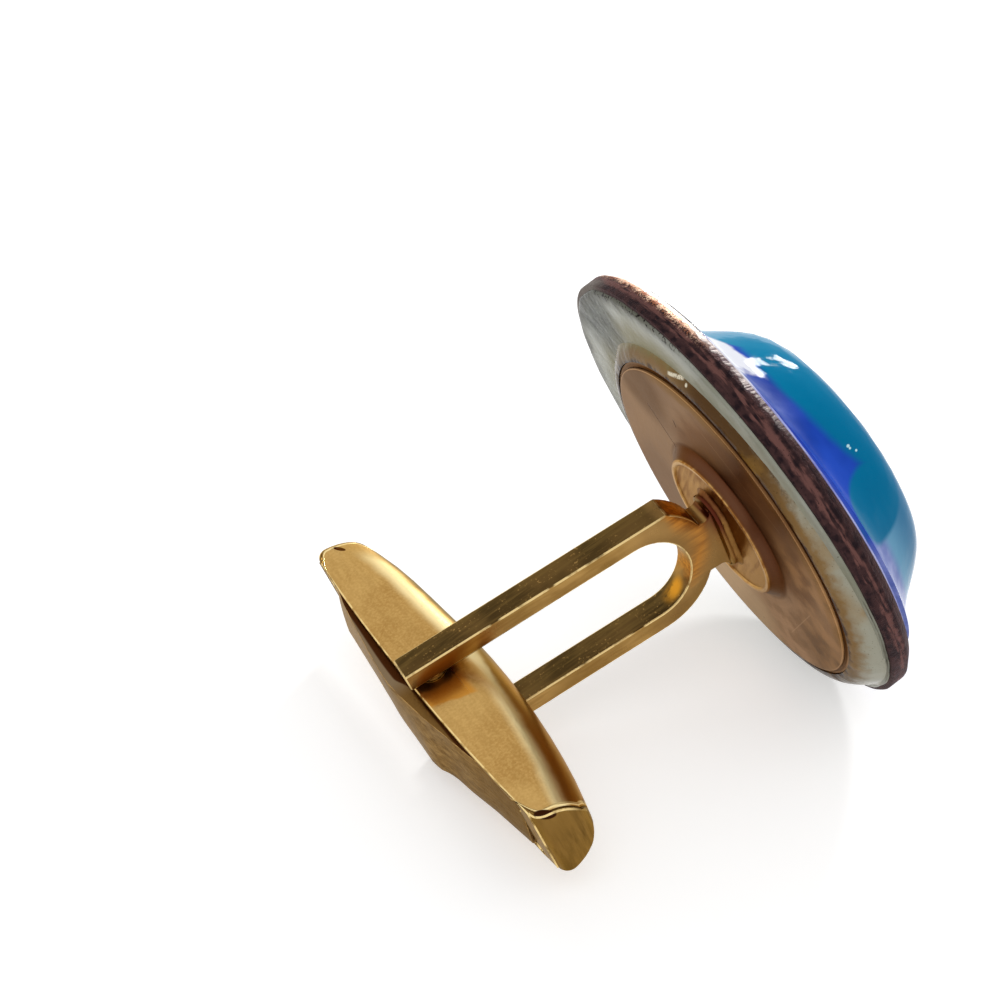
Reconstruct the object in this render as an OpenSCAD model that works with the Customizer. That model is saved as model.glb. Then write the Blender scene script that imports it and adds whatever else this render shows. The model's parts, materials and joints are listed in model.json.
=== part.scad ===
// Cufflink: an enamelled copper head with a fused glass mound, glued to a gilt
// pad that carries a forked post and a swivel toggle.
// Every piece is drawn with the post along z, the legs of the fork apart along x
// and the toggle along y. The origin is the middle of the pad's cuff face.
// The whole is then laid down on its disc and leg ends, as it lies on a table.
// Lengths are in millimetres.

/* [Disc] */
// Diameter of the copper disc
disc_d = 20.8; // [19:0.1:26]
// Thickness of the copper disc
disc_t = 1.15; // [0.8:0.05:1.6]
// Width of the filed bevel round the front edge of the disc
disc_bevel = 0.4; // [0.1:0.05:0.4]
// How far the disc sits off the post, across the fork
disc_shift_x = 0.3; // [0:0.05:0.5]
// How far the disc sits off the post, towards one end of the toggle
disc_shift_y = 1.1; // [0:0.05:1.2]
// Tilt of the disc on its glue, across the fork, in degrees
disc_tilt = 3.1; // [0:0.1:4]

/* [Enamel and glass] */
// Thickness of the enamel on the back of the disc
counter_t = 0.12; // [0.08:0.02:0.3]
// Bare copper left round the enamel on the back
counter_margin = 0.15; // [0.1:0.05:0.4]
// Thickness of the enamel coat on the front of the disc
coat_t = 0.15; // [0.1:0.05:0.3]
// Bare copper left round the enamel coat on the front, past the bevel
coat_margin = 0.1; // [0.05:0.05:0.3]
// Height of the glass mound over the front coat
mound_h = 3.65; // [3:0.05:6]
// Radius at which the mound has fallen to half its height
mound_half_r = 6.8; // [5.5:0.05:7.5]
// Steepness of the mound's side
mound_steepness = 10; // [5:1:10]
// Least width of the flat ring of front coat left outside the mound
mound_margin = 0.5; // [0.2:0.1:1]
// How far the mound sits off the disc's middle, across the fork
mound_shift_x = 0.65; // [0:0.05:0.8]
// How far the mound sits off the disc's middle, along the toggle
mound_shift_y = 0.7; // [0:0.05:0.8]
// Radius of the turquoise glass melted into the top of the mound
cap_r = 5.25; // [3.5:0.05:5.5]
// How far the turquoise glass sits off the mound's middle, across the fork
cap_shift_x = 2.3; // [0:0.1:2.5]
// How far the turquoise glass sits off the mound's middle, along the toggle
cap_shift_y = 1.7; // [0:0.1:2]
// Height of the turquoise glass's flat underside over the front coat
cap_floor = 1.7; // [1:0.1:2]

/* [Pad] */
// Diameter of the gilt pad
pad_d = 15; // [13:0.5:16]
// Thickness of the gilt pad
pad_t = 0.35; // [0.3:0.05:0.6]
// Width of the thin flange round the pad
flange_w = 0.22; // [0.1:0.02:0.4]
// Diameter of the raised boss in the middle of the pad
boss_d = 6.6; // [5.5:0.1:7.5]
// Height of the boss
boss_h = 0.4; // [0.3:0.05:0.6]
// How much wider the boss is at its root than at its lip
boss_flare = 0.4; // [0.1:0.05:0.5]
// Width of the rounded lip round the boss
lip_w = 0.26; // [0.16:0.02:0.3]
// Height of the lip over the boss
lip_h = 0.08; // [0.04:0.02:0.12]
// Thickness of the glue film under the pad, where the tilted disc is nearest
glue_t = 0.06; // [0.04:0.02:0.2]
// Width of the glue bead round the pad, where the glue is thickest
bead_w = 1.3; // [0.5:0.05:1.4]

/* [Fork] */
// Distance from the pad's cuff face to the ends of the legs
fork_reach = 14.75; // [13.5:0.25:17]
// Gap between the two legs
leg_gap = 3.94; // [3.8:0.02:4.4]
// Thickness of a leg, across the fork
leg_t = 0.8; // [0.7:0.05:1]
// Width of a leg, along the toggle
leg_w = 1.26; // [1.2:0.02:1.6]
// Height of the bottom of the gap over the pad's cuff face
gap_floor = 2.27; // [2.1:0.05:2.6]
// How far the middle of the rounded shoulders lies off the gap's middle
yoke_shift = 0.3; // [0.1:0.05:0.4]
// Width of the neck below the shoulders
neck_w = 2.6; // [2:0.1:3]
// Radius of the hollow between the neck and the foot
neck_r = 0.34; // [0.2:0.02:0.4]
// Length of the foot that is soldered to the boss, across the fork
foot_l = 3.8; // [3.4:0.1:4.4]
// Width of the foot, along the toggle
foot_w = 1.9; // [1.8:0.1:2.4]
// Thickness of the foot
foot_t = 0.38; // [0.3:0.02:0.5]
// Diameter of the stem that passes through the pad
stem_d = 1.9; // [1.5:0.1:2.2]
// Height of the solder run round the foot
solder_h = 0.2; // [0.1:0.05:0.3]
// Lean of the fork towards one end of the toggle, in degrees
fork_lean = 4.1; // [0:0.1:5]

/* [Toggle] */
// Length of the toggle
toggle_l = 19.8; // [18:0.2:20]
// Width of the toggle, between the legs
toggle_w = 3.52; // [3.2:0.02:3.6]
// Depth of the toggle in its middle
toggle_h = 3.45; // [3.2:0.05:3.8]
// How much shallower the keel makes the toggle at its ends
keel_rise = 1.15; // [0.8:0.05:1.4]
// How much the open side falls towards the ends
crown = 0.35; // [0.2:0.05:0.5]
// Radius of the rounded corners at the ends of the open side
tip_r = 0.55; // [0.4:0.05:0.9]
// Radius of the rounded corners at the ends of the keel
keel_r = 0.6; // [0.4:0.05:0.8]
// Thickness of the toggle's sheet metal
wall = 0.35; // [0.25:0.05:0.4]
// Length of the tab folded over each end of the spring strip
tab_l = 1.7; // [1.2:0.1:2]
// Diameter of the relief holes where the tabs are folded
relief_d = 0.6; // [0.4:0.1:0.8]
// Width of the spring strip
strip_w = 2.4; // [2:0.1:2.4]
// Thickness of the spring strip
strip_t = 0.3; // [0.2:0.05:0.3]

/* [Pivot] */
// Distance from the ends of the legs to the pin's axis
pin_inset = 1.15; // [1.1:0.05:1.4]
// Diameter of the pin where it is round
pin_d = 1.1; // [0.9:0.05:1.2]
// Depth of the blind hole in each leg
socket_depth = 0.55; // [0.4:0.05:0.6]
// Side of the square in the middle of the pin
cam_side = 1.85; // [1.5:0.05:1.9]
// Distance from the pin's axis to the toggle's open side
open_height = 1.05; // [1:0.05:1.2]

/* [Hidden] */
// Radial clearance of the pin in the toggle's walls
pin_play = 0.04;
// Radial clearance of the pin in the legs, and of the stem in the pad
seat_play = 0.01;
// Clearance round the turquoise glass and between the glue and the pad's rim
fill_play = 0.02;
// Clearance between the spring strip and the sweep of the square's corners
strip_play = 0.1;
// Clearance between the square and each wall of the toggle
cam_side_play = 0.14;
// Gap between each end of the spring strip and the toggle's end wall
strip_end_play = 0.25;
// Gap between the spring strip and the underside of the tabs
tab_play = 0.07;
// Reach of the square's cut corners from the pin's axis
cam_corner_r = 1.25;
// How far cuts run past what they cut
over = 1;
// Number of straight steps in the outline of the mound and the bead
steps = 36;
// Share of the pad's thickness that its flange has
flange_share = 0.55;
// Power of the curve by which the bead's height falls towards its edge
bead_power = 2.2;
$fn = 96;

disc_r = disc_d / 2;
pad_r = pad_d / 2;
boss_r = boss_d / 2;
// Levels along the post, counted from the pad's cuff face
flange_r = pad_r + flange_w;
glue_z = -pad_t;
counter_z = glue_z - glue_t - flange_r * tan(disc_tilt);
// Levels along the disc's own axis, counted from the face that is glued
copper_z = -counter_t;
coat_z = copper_z - disc_t;
mound_z = coat_z - coat_t;
// Radii of the enamel and glass
counter_r = disc_r - counter_margin;
coat_r = disc_r - disc_bevel - coat_margin;
mound_off = sqrt(mound_shift_x * mound_shift_x + mound_shift_y * mound_shift_y);
mound_r = coat_r - mound_off - mound_margin;
// Fork
foot_z = boss_h + foot_t;
neck_z = foot_z - leg_w * sin(fork_lean);
leg_in = leg_gap / 2;
leg_out = leg_in + leg_t;
gap_centre_z = gap_floor + leg_in;
stem_r = stem_d / 2;
yoke_r = leg_out + yoke_shift;
pin_r = pin_d / 2;
pin_z = fork_reach - pin_inset;
// Toggle, counted from the pin's axis
half_l = toggle_l / 2;
half_w = toggle_w / 2;
keel_z = open_height - toggle_h;
keel_arc = half_l * half_l / (2 * keel_rise) + keel_rise / 2;
crown_arc = half_l * half_l / (2 * crown) + crown / 2;
inner_w = half_w - wall;
// Spring strip, an arc that clears the square and slips under the tabs
strip_top = cam_corner_r + strip_play + strip_t;
strip_half = half_l - wall - strip_end_play;
tab_y = half_l - tab_l;
tab_under = open_height - (crown_arc - sqrt(crown_arc * crown_arc - tab_y * tab_y)) - wall;
strip_fall = strip_top - tab_under + tab_play;
strip_arc = tab_y * tab_y / (2 * strip_fall) + strip_fall / 2;
// Place of the disc's lowest edge, and the lean at which it and a leg's end stand on one surface
rim_x = (disc_r - disc_shift_x) * cos(disc_tilt) + copper_z * sin(disc_tilt);
rim_z = counter_z - (disc_r - disc_shift_x) * sin(disc_tilt) + copper_z * cos(disc_tilt);
lie_angle = atan2(rim_x - leg_out, fork_reach - rim_z);

// Lays a piece down as the whole cufflink lies
module lay() {
    rotate([0, 90 + lie_angle, 0]) children();
}

// Moves a piece to the disc's middle and tilts it with the disc
module on_disc() {
    translate([0, 0, counter_z]) rotate([0, disc_tilt, 0])
        translate([-disc_shift_x, -disc_shift_y, 0]) children();
}

// Moves a piece of glass to the mound's middle, with its base on the front coat
module on_coat() {
    on_disc() translate([mound_shift_x, mound_shift_y, mound_z]) mirror([0, 0, 1]) children();
}

// Tips a piece with the leaning fork
module lean() {
    rotate([fork_lean, 0, 0]) children();
}

// Moves a piece of the toggle to the pin's axis and keeps it square to the pad
module on_pin() {
    lean() translate([0, 0, pin_z]) rotate([-fork_lean, 0, 0]) children();
}

// Height of the mound at a distance from its middle
function mound_height(r) = mound_h / (1 + pow(r / mound_half_r, mound_steepness));

// Outline of the mound, from its top to its blunt edge
module mound() {
    outline = [for (i = [0 : steps]) let (r = mound_r * i / steps) [r, mound_height(r)]];
    rotate_extrude() polygon(concat([[0, 0]], outline, [[mound_r, 0]]));
}

// Round bar that the turquoise glass fills, from its floor upwards
module cap_space(play) {
    translate([-cap_shift_x, cap_shift_y, cap_floor])
        cylinder(r = cap_r + play, h = mound_h + over);
}

module copper_disc() {
    color("#5a3028") lay() on_disc() translate([0, 0, coat_z]) {
        translate([0, 0, disc_bevel]) cylinder(r = disc_r, h = disc_t - disc_bevel);
        cylinder(r1 = disc_r - disc_bevel, r2 = disc_r, h = disc_bevel);
    }
}

module counter_enamel() {
    color("#b9b79c") lay() on_disc() translate([0, 0, copper_z]) {
        cylinder(r1 = counter_r, r2 = counter_r - counter_t, h = counter_t);
    }
}

module front_coat() {
    color("#c4c6ee") lay() on_disc() translate([0, 0, mound_z]) {
        cylinder(r1 = coat_r - coat_t, r2 = coat_r, h = coat_t);
    }
}

module cobalt_glass() {
    color("#2a4fc0") lay() on_coat() difference() {
        mound();
        cap_space(fill_play);
    }
}

module turquoise_glass() {
    color("#0a7f9e") lay() on_coat() intersection() {
        mound();
        cap_space(0);
    }
}

// Wedge of glue between the pad and the tilted disc, with the round bead that was squeezed out
module glue_bead() {
    rim = flange_r + fill_play;
    top = -flange_w / 2;
    bottom = counter_z - (rim + bead_w) * tan(disc_tilt);
    bead = [for (i = [0 : steps]) let (s = i / steps)
        [rim + bead_w * s, top - (top - bottom) * pow(s, bead_power)]];
    color("#c9952e") lay() difference() {
        rotate_extrude() polygon(concat([[0, bottom], [0, glue_z], [rim, glue_z]], bead));
        on_disc() translate([0, 0, -disc_t]) cylinder(r = disc_d, h = disc_t);
    }
}

// Stamped pad with a thin flange, a raised boss and a rounded lip, pierced for the stem
module back_pad() {
    lip_r = lip_w / 2;
    color("#b58d68") lay() difference() {
        union() {
            translate([0, 0, -pad_t]) cylinder(r = pad_r, h = pad_t);
            translate([0, 0, -pad_t]) cylinder(r = flange_r, h = pad_t * flange_share);
            cylinder(r1 = boss_r + boss_flare, r2 = boss_r, h = boss_h);
            translate([0, 0, boss_h]) rotate_extrude()
                translate([boss_r - lip_r, 0]) intersection() {
                    circle(r = lip_r);
                    translate([-lip_r, 0]) square([lip_w, lip_h]);
                }
        }
        translate([0, 0, -pad_t - over]) cylinder(r = stem_r + seat_play, h = pad_t + boss_h + 2 * over);
    }
}

// Round-ended bar standing on the boss
module foot_bar(length, width, height) {
    straight = length - width;
    translate([0, 0, boss_h]) {
        translate([-straight / 2, -width / 2, 0]) cube([straight, width, height]);
        for (side = [-1, 1])
            translate([side * straight / 2, 0, 0]) cylinder(d = width, h = height);
    }
}

// Solder that has run out round the fork's foot
module solder_run() {
    color("#c8a468") lay() difference() {
        foot_bar(foot_l + 2 * solder_h, foot_w + 2 * solder_h, solder_h);
        translate([0, 0, -over]) foot_bar(foot_l, foot_w, foot_t + over);
    }
}

// Flat outline of the fork: round shoulders, a hollow neck and two straight legs
module fork_outline() {
    difference() {
        union() {
            translate([0, gap_centre_z]) intersection() {
                translate([-yoke_shift, 0]) circle(r = yoke_r);
                translate([-leg_out, -yoke_r]) square([2 * leg_out, yoke_r]);
            }
            translate([-leg_out, gap_centre_z]) square([2 * leg_out, fork_reach - gap_centre_z]);
            translate([-neck_w / 2, neck_z]) square([neck_w, gap_floor - neck_z]);
            translate([-neck_w / 2 - neck_r, neck_z]) square([neck_w + 2 * neck_r, foot_z + neck_r - neck_z]);
        }
        translate([0, gap_centre_z]) circle(r = leg_in);
        translate([-leg_in, gap_centre_z]) square([leg_gap, fork_reach]);
        for (side = [-1, 1])
            translate([side * (neck_w / 2 + neck_r), foot_z + neck_r]) circle(r = neck_r);
    }
}

module fork() {
    color("#9a7a3a") lay() {
        difference() {
            lean() rotate([90, 0, 0])
                linear_extrude(height = leg_w, center = true) fork_outline();
            lean() translate([0, 0, pin_z]) rotate([0, 90, 0])
                cylinder(r = pin_r + seat_play, h = 2 * (leg_in + socket_depth), center = true);
            translate([-leg_out, -foot_w, boss_h - over]) cube([2 * leg_out, 2 * foot_w, over]);
        }
        foot_bar(foot_l, foot_w, foot_t);
        translate([0, 0, -pad_t]) cylinder(r = stem_r, h = pad_t + boss_h + foot_t / 2);
    }
}

// Pin with a square middle, held in the legs by its round ends
module pivot_pin() {
    cam_l = 2 * (inner_w - cam_side_play);
    color("#8d7440") lay() lean() translate([0, 0, pin_z]) rotate([0, 90, 0]) {
        cylinder(r = pin_r, h = 2 * (leg_in + socket_depth - fill_play), center = true);
        intersection() {
            cube([cam_side, cam_side, cam_l], center = true);
            cylinder(r = cam_corner_r, h = cam_l, center = true);
        }
    }
}

// Boat-shaped solid: a round keel on a long arc, with a crowned top and square ends
module hull_shape(inset, top) {
    w = half_w - inset;
    keel = keel_arc - inset;
    ends = half_l - inset;
    intersection() {
        translate([0, 0, keel_z + keel_arc]) rotate([0, 90, 0])
            rotate([0, 0, -45]) rotate_extrude(angle = 90, $fn = 360) {
                translate([keel - w, 0]) circle(r = w, $fn = 64);
                translate([keel - toggle_h - over, -w]) square([toggle_h + over - w, 2 * w]);
            }
        translate([0, 0, top - crown_arc]) rotate([0, 90, 0])
            cylinder(r = crown_arc, h = toggle_w + over, center = true, $fn = 720);
        side_outline(ends, top, tip_r - inset / 2, keel_r - inset / 2, keel);
    }
}

// Side view of the toggle as a block, with rounded corners at both ends
module side_outline(ends, top, upper_r, lower_r, keel) {
    fall = crown_arc - sqrt(crown_arc * crown_arc - ends * ends);
    upper_z = top - fall - upper_r;
    lower_y = ends - lower_r;
    lower_z = keel_z + keel_arc - sqrt((keel - lower_r) * (keel - lower_r) - lower_y * lower_y);
    rotate([90, 0, 90]) linear_extrude(height = toggle_w + over, center = true) {
        translate([-ends, lower_z]) square([2 * ends, upper_z - lower_z]);
        translate([upper_r - ends, upper_z - over]) square([2 * (ends - upper_r), over + upper_r + fall]);
        translate([-lower_y, keel_z - over]) square([2 * lower_y, over + lower_z - keel_z]);
        for (side = [-1, 1]) {
            translate([side * (ends - upper_r), upper_z]) circle(r = upper_r);
            translate([side * lower_y, lower_z]) circle(r = lower_r);
        }
    }
}

module toggle_shell() {
    color("#c39a55") lay() on_pin() difference() {
        hull_shape(0, open_height);
        hull_shape(wall, open_height - wall);
        translate([-inner_w, -tab_y, 0]) cube([2 * inner_w, 2 * tab_y, open_height + over]);
        for (x = [-inner_w, inner_w], y = [-tab_y, tab_y])
            translate([x, y, 0]) cylinder(d = relief_d, h = open_height + over);
        rotate([0, 90, 0]) cylinder(r = pin_r + pin_play, h = toggle_w + over, center = true);
    }
}

// Bowed spring strip that closes the toggle's open side and bears on the square
module spring_strip() {
    sweep = 2 * asin(strip_half / strip_arc);
    color("#7a6048") lay() on_pin() translate([0, 0, strip_top - strip_arc])
        rotate([0, -90, 0]) rotate([0, 0, -sweep / 2]) rotate_extrude(angle = sweep, $fn = 360)
            translate([strip_arc - strip_t, -strip_w / 2]) square([strip_t, strip_w]);
}

copper_disc();
counter_enamel();
front_coat();
cobalt_glass();
turquoise_glass();
glue_bead();
back_pad();
solder_run();
fork();
pivot_pin();
toggle_shell();
spring_strip();
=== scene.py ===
"""Enamelled cufflink with a swivel toggle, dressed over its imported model."""
import json
import math
import bpy
from mathutils import Matrix, Vector, noise
from mathutils.bvhtree import BVHTree


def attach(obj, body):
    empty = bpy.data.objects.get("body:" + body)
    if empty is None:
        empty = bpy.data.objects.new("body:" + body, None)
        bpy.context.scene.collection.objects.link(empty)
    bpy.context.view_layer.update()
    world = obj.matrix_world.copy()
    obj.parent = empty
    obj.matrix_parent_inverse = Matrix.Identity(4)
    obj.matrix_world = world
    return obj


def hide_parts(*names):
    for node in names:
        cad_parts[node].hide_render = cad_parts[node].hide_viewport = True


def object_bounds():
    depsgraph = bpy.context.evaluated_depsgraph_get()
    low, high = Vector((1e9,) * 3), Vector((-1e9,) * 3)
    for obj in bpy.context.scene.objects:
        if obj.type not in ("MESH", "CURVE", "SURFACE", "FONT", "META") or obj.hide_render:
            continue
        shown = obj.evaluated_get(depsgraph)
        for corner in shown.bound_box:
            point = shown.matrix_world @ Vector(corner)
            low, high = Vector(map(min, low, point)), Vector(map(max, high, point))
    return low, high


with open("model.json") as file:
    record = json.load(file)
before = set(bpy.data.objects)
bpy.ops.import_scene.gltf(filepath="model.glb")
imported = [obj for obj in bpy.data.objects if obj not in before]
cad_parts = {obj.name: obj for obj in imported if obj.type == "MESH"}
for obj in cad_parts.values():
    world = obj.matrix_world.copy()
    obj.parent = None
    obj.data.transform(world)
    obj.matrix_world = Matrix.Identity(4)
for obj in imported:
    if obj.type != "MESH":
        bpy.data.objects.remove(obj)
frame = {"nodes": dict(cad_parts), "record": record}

CAD_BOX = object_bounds()
MM = 0.001
FULL_TURN = 6.283

# Directions of the cufflink itself: along its post, along its toggle, and across its fork
POST = Vector(frame["record"]["mounts"][0]["axis"])
ALONG = Vector((0, 1, 0))
ACROSS = ALONG.cross(POST)

# The photograph's view, as components across the fork, along the toggle and along the post
VIEW_FROM_MM = Vector((-68.54, 66.58, 22.17))
VIEW_RIGHT = Vector((0.3348, 0.4748, -0.8139))
VIEW_UP = Vector((-0.6687, -0.4889, -0.5602))
LENS_MM = 85.536

# The disc is glued on at a tilt and off the post, and the glass sits off the disc's middle
DISC_TILT = math.radians(3.1)
DISC_BACK_MM = -0.8282
DISC_MIDDLE_MM = Vector((-0.3, -1.1, 0))
MOUND_MIDDLE_MM = Vector((0.65, 0.7))
MOUND_BASE_MM = -1.42

# The mound's height, the radius at which it has fallen to half of it, and how steeply it falls there
MOUND_HIGH_MM = 3.64
MOUND_HALF_MM = 6.8
MOUND_STEEPNESS = 10

# The lump on it: its middle, half widths and swell, and how deep its edge and underside are sunk
LUMP_MIDDLE_MM = Vector((-2.0, 1.3))
LUMP_HALF_MM = Vector((4.75, 5.6))
LUMP_SWELL_MM = 0.1
LUMP_EDGE_MM = -0.02
LUMP_UNDER_MM = -0.3

# Rings round the pieces' own axes, as radius and height in millimetres
COPPER_RINGS = ((10.28, -0.12), (10.36, -0.14), (10.4, -0.2), (10.4, -0.82), (10.38, -0.88), (10.04, -1.23),
                (9.98, -1.27))
ENAMEL_RINGS = ((10.24, -0.12), (10.23, -0.08), (10.19, -0.04), (10.12, -0.012), (10.0, 0.0), (9.7, 0.0))
COAT_RINGS = ((9.9, -1.27), (9.89, -1.32), (9.85, -1.37), (9.78, -1.405), (9.68, -1.42), (9.4, -1.42))
PAD_FLANGE = ((1.0, -0.35), (7.66, -0.35), (7.71, -0.33), (7.72, -0.29), (7.72, -0.2), (7.7, -0.165),
              (7.66, -0.157), (7.53, -0.155))
PAD_FACE = ((7.5, -0.14), (7.5, -0.05), (7.48, -0.015), (7.43, 0.0), (7.3, 0.0), (7.28, 0.0), (3.9, 0.0),
            (3.82, 0.0), (3.72, 0.01), (3.67, 0.045))
PAD_BOSS = ((3.34, 0.35), (3.31, 0.39), (3.3, 0.43), (3.26, 0.465), (3.17, 0.48), (3.09, 0.465),
            (3.05, 0.43), (3.03, 0.4), (2.95, 0.4), (1.0, 0.4))

# Spring strip: place along the toggle, then the height of its near and far edges
STRIP_MM = ((-8.9, 14.35, 14.86), (-7.7, 14.6, 14.96), (-5.7, 14.89, 15.13), (-3.9, 15.11, 15.3),
            (-3.0, 15.2, 15.4), (-2.3, 15.24, 15.44), (-1.1, 15.16, 15.48), (0.3, 15.02, 15.55),
            (0.9, 14.94, 15.5), (1.2, 14.9, 15.37), (1.8, 14.8, 15.2), (2.9, 14.65, 15.07),
            (4.5, 14.42, 14.8), (6.9, 14.1, 14.5))
STRIP_HALF_MM = 1.24
STRIP_CROWN_MM = 0.05
STRIP_WALL_MM = 0.25
# Height over the pad's face at which the strip's turned-down sides end
STRIP_FOOT_MM = 14.3

# Roundings of the pieces' sharp edges
ROUNDING_MM = 0.06
PIN_ROUNDING_MM = 0.05


def turn_to(across, along, post):
    """Turn that lays a piece drawn with its axis up along the given directions."""
    return Matrix((across, along, post)).transposed().to_4x4()


POST_FRAME = turn_to(ACROSS, ALONG, POST)
DISC_FRAME = (POST_FRAME @ Matrix.Translation(Vector((0, 0, DISC_BACK_MM)) * MM)
              @ Matrix.Rotation(DISC_TILT, 4, "Y") @ Matrix.Translation(DISC_MIDDLE_MM * MM))


def ink(r, g, b):
    """Linear colour from the 0 to 255 values of the finish."""
    return tuple(c / 12.92 / 255 if c <= 10 else ((c / 255 + 0.055) / 1.055) ** 2.4 for c in (r, g, b))


# Shader groups

def joined(tree, socket, value):
    """Links a socket to another one, or sets it to a plain value or colour."""
    if isinstance(value, bpy.types.NodeSocket):
        tree.links.new(value, socket)
    elif isinstance(value, tuple) and len(value) == 3 and socket.type == "RGBA":
        socket.default_value = (*value, 1.0)
    else:
        socket.default_value = value


def reckoned(tree, operation, *values, clamp=False):
    """Output of one sum on sockets or numbers."""
    n = tree.nodes.new("ShaderNodeMath")
    n.operation, n.use_clamp = operation, clamp
    for socket, value in zip(n.inputs, values):
        joined(tree, socket, value)
    return n.outputs[0]


def dotted(tree, source, direction):
    """Length of a vector socket along a direction."""
    n = tree.nodes.new("ShaderNodeVectorMath")
    n.operation = "DOT_PRODUCT"
    n.inputs[1].default_value = direction
    tree.links.new(source, n.inputs[0])
    return n.outputs["Value"]


def new_group(name, inputs, outputs):
    """Empty node group with its named inputs and outputs."""
    tree = bpy.data.node_groups.new(name, "ShaderNodeTree")
    for label, value in inputs:
        socket = tree.interface.new_socket(name=label, in_out="INPUT", socket_type="NodeSocketFloat")
        socket.default_value = value
    for label in outputs:
        tree.interface.new_socket(name=label, in_out="OUTPUT", socket_type="NodeSocketFloat")
    return tree, tree.nodes.new("NodeGroupInput"), tree.nodes.new("NodeGroupOutput")


def lumps(tree, scale, detail):
    """Noise on Object coordinates inside a group."""
    n = tree.nodes.new("ShaderNodeTexNoise")
    n.inputs["Detail"].default_value = detail
    tree.links.new(scale, n.inputs["Scale"])
    tree.links.new(tree.nodes.new("ShaderNodeTexCoord").outputs["Object"], n.inputs["Vector"])
    return n.outputs["Fac"]


def place_group(name, turned):
    """Group that gives a point's place in one of the cufflink's own frames, in millimetres."""
    tree, _, out = new_group(name, (), ("Across", "Along", "Up", "Radius", "Turn"))
    coords = tree.nodes.new("ShaderNodeTexCoord")
    away = tree.nodes.new("ShaderNodeVectorMath")
    away.operation = "SUBTRACT"
    away.inputs[1].default_value = turned.to_translation()
    tree.links.new(coords.outputs["Object"], away.inputs[0])
    x, y, z = (dotted(tree, away.outputs[0], turned.to_3x3().col[i] / MM) for i in range(3))
    squares = reckoned(tree, "ADD", reckoned(tree, "MULTIPLY", x, x), reckoned(tree, "MULTIPLY", y, y))
    radius, turn = reckoned(tree, "SQRT", squares), reckoned(tree, "ARCTAN2", y, x)
    for socket, value in zip(out.inputs, (x, y, z, radius, turn)):
        tree.links.new(value, socket)
    return tree


def facing_group():
    """Group that says how far a face looks across the fork, along the toggle and along the post."""
    tree, _, out = new_group("facing", (), ("Across", "Along", "Up"))
    coords = tree.nodes.new("ShaderNodeTexCoord")
    for socket, direction in zip(out.inputs, (ACROSS, ALONG, POST)):
        tree.links.new(dotted(tree, coords.outputs["Normal"], direction), socket)
    return tree


def blotch_group():
    """Group of uneven patches at two sizes and a fine grain, the same everywhere on the cufflink."""
    tree, given, out = new_group("patches and grain", (("Size mm", 1.0),), ("Broad", "Middle", "Grain"))
    for socket, times_finer, detail in zip(out.inputs, (1, 4, 22), (3, 4, 2)):
        scale = reckoned(tree, "DIVIDE", times_finer / MM, given.outputs[0])
        tree.links.new(lumps(tree, scale, detail), socket)
    return tree


def wear_group():
    """Group that breaks a piece's marked edges into bright worn stretches and dull ones."""
    tree, given, out = new_group("worn edges", (("Breaks", 1.6), ("Bare", 0.34)), ("Worn",))
    edge = tree.nodes.new("ShaderNodeAttribute")
    edge.attribute_name = "edge"
    breaks = lumps(tree, reckoned(tree, "MULTIPLY", given.outputs["Breaks"], 1 / MM), 3)
    gap = reckoned(tree, "SUBTRACT", breaks, given.outputs["Bare"])
    bare = reckoned(tree, "MULTIPLY", gap, 6.0, clamp=True)
    tree.links.new(reckoned(tree, "MULTIPLY", edge.outputs["Fac"], bare), out.inputs[0])
    return tree


BY_POST = place_group("place along the post", POST_FRAME)
BY_DISC = place_group("place on the disc", DISC_FRAME)
FACING = facing_group()
PATCHES = blotch_group()
WORN = wear_group()


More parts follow.
